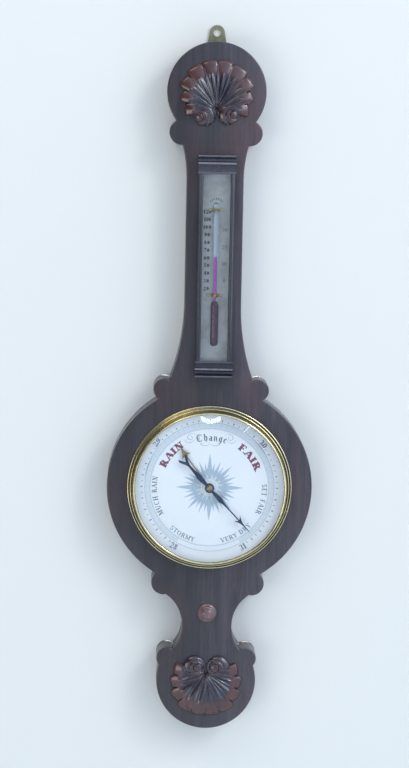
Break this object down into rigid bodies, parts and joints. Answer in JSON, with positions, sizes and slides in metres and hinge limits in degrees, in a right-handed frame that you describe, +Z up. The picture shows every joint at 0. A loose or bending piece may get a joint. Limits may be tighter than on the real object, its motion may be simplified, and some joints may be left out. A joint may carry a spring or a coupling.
{
  "type": "aneroid banjo barometer",
  "caption": "Wall barometer in a dark wooden banjo case, with a round white dial under bevelled glass, a boxed spirit thermometer, carved shells and a setting knob.",
  "frame": {"origin": "centre of the hole of the hanging plate, on the wall plane", "axes": "+Z up along the case, +Y into the wall, so the dial faces -Y, and +X to the viewer's right"},
  "size_m": [0.279, 0.06, 0.9592],
  "materials": {
    "case_wood": "dark mahogany, French polished, worn soft gloss",
    "back_wood": "plain stained pine",
    "ebonised_wood": "ebonised, polished",
    "carved_wood": "red mahogany, carved, glossy",
    "turned_wood": "turned, glossy",
    "brass": "plain",
    "plate_brass": "tarnished",
    "old_brass": "lacquered, dulled",
    "movement_brass": "brushed, lacquered",
    "bezel_brass": "polished",
    "steel": "plain",
    "spring_steel": "hardened",
    "blued_steel": "blued",
    "capsule_metal": "nickel silver, bright",
    "cast_iron": "as cast, lacquered",
    "clear_glass": "clear",
    "silvered_plate": "silvered brass, matt",
    "red_spirit": "dyed spirit",
    "white_dial": "white card under glass, satin",
    "cord": "plaited linen"
  },
  "bodies": {
    "case": {"case_front": "case_wood", "case_body": "case_wood", "back_cover": "back_wood", "head_plug": "ebonised_wood", "back_screws": "brass", "hanging_plate": "plate_brass", "hanging_screws": "steel", "upper_shell": "carved_wood", "lower_shell": "carved_wood", "therm_rail_left": "ebonised_wood", "therm_rail_right": "ebonised_wood", "therm_top_moulding": "ebonised_wood", "therm_bottom_moulding": "ebonised_wood", "therm_glass": "clear_glass", "therm_scale": "silvered_plate", "therm_tube": "clear_glass", "therm_spirit": "red_spirit", "tube_clips": "old_brass", "clip_pins": "old_brass", "bezel": "bezel_brass", "bezel_pins": "bezel_brass", "dial_glass": "clear_glass", "glass_ring": "old_brass", "dial": "white_dial", "dial_plate": "movement_brass", "dial_screws": "steel", "base_plate": "movement_brass", "movement_pillars": "movement_brass", "pillar_screws": "blued_steel", "capsule_stud": "movement_brass", "vacuum_capsule": "capsule_metal", "spring_bridge": "cast_iron", "mainspring": "spring_steel", "spring_screws": "blued_steel", "shaft_posts": "movement_brass", "hairspring": "blued_steel", "hairspring_stud": "movement_brass", "rear_cock": "movement_brass", "front_cock": "movement_brass", "cock_posts": "movement_brass", "cock_spacers": "movement_brass", "pipe_bush": "movement_brass", "set_cord": "cord", "knob_rose": "turned_wood", "knob_bush": "movement_brass"},
    "indicator": {"indicator_hand": "blued_steel", "hub_cap": "bezel_brass", "arbor": "steel"},
    "rocker": {"rocking_shaft": "steel"},
    "lever": {"main_lever": "steel"},
    "link": {"connecting_link": "steel"},
    "post": {"capsule_post": "steel", "knife_edge": "blued_steel"},
    "chain_run": {"chain": "steel"},
    "knob": {"set_knob": "turned_wood", "knob_spindle": "steel", "knob_pulley": "movement_brass"},
    "set_pointer": {"set_hand": "old_brass", "set_pipe": "movement_brass"},
    "regulator": {"regulating_screw": "steel"}
  },
  "joints": [
    {"name": "indicator_turn", "type": "hinge", "parent": "case", "child": "indicator", "pos_m": [0, -0.051, -0.6127], "axis": [0, 1, 0], "range_deg": [-287, 13], "stiffness_Nm_per_rad": 0.0006, "deforming": ["hairspring"]},
    {"name": "rocking_shaft_turn", "type": "hinge", "parent": "case", "child": "rocker", "pos_m": [-0.047, -0.0189, -0.6127], "axis": [0, 0, 1], "range_deg": [-31, 1.5]},
    {"name": "lever_turn", "type": "hinge", "parent": "case", "child": "lever", "pos_m": [0.046, -0.01865, -0.6127], "axis": [0, 0, 1], "range_deg": [-0.1, 1.1], "deforming": ["mainspring"]},
    {"name": "link_turn", "type": "hinge", "parent": "lever", "child": "link", "pos_m": [-0.04409, -0.01386, -0.6127], "axis": [0, 0, 1], "range_deg": [-1.1, 0.1]},
    {"name": "capsule_travel", "type": "slide", "parent": "case", "child": "post", "axis": [0, -1, 0], "range_m": [-0.0001, 0.0009], "deforming": ["vacuum_capsule"]},
    {"name": "chain_travel", "type": "slide", "parent": "case", "child": "chain_run", "axis": [1, 0, 0], "range_m": [-0.0072, 0.0004]},
    {"name": "knob_turn", "type": "hinge", "parent": "case", "child": "knob", "pos_m": [0, -0.05, -0.7867], "axis": [0, 1, 0], "continuous": true},
    {"name": "set_hand_turn", "type": "hinge", "parent": "case", "child": "set_pointer", "pos_m": [0, -0.047, -0.6127], "axis": [0, 1, 0], "continuous": true},
    {"name": "regulating_turn", "type": "hinge", "parent": "case", "child": "regulator", "pos_m": [0.042, -0.006, -0.6127], "axis": [0, 1, 0], "range_deg": [-180, 180]}
  ],
  "couplings": [
    {"joint": "rocking_shaft_turn", "follows": "indicator_turn", "ratio": 0.10425},
    {"joint": "lever_turn", "follows": "indicator_turn", "ratio": -0.0034284},
    {"joint": "link_turn", "follows": "indicator_turn", "ratio": 0.0034284},
    {"joint": "capsule_travel", "follows": "indicator_turn", "m_per_rad": -0.00015771},
    {"joint": "chain_travel", "follows": "indicator_turn", "m_per_rad": 0.0013333},
    {"joint": "set_hand_turn", "follows": "knob_turn", "ratio": 0.66667}
  ]
}
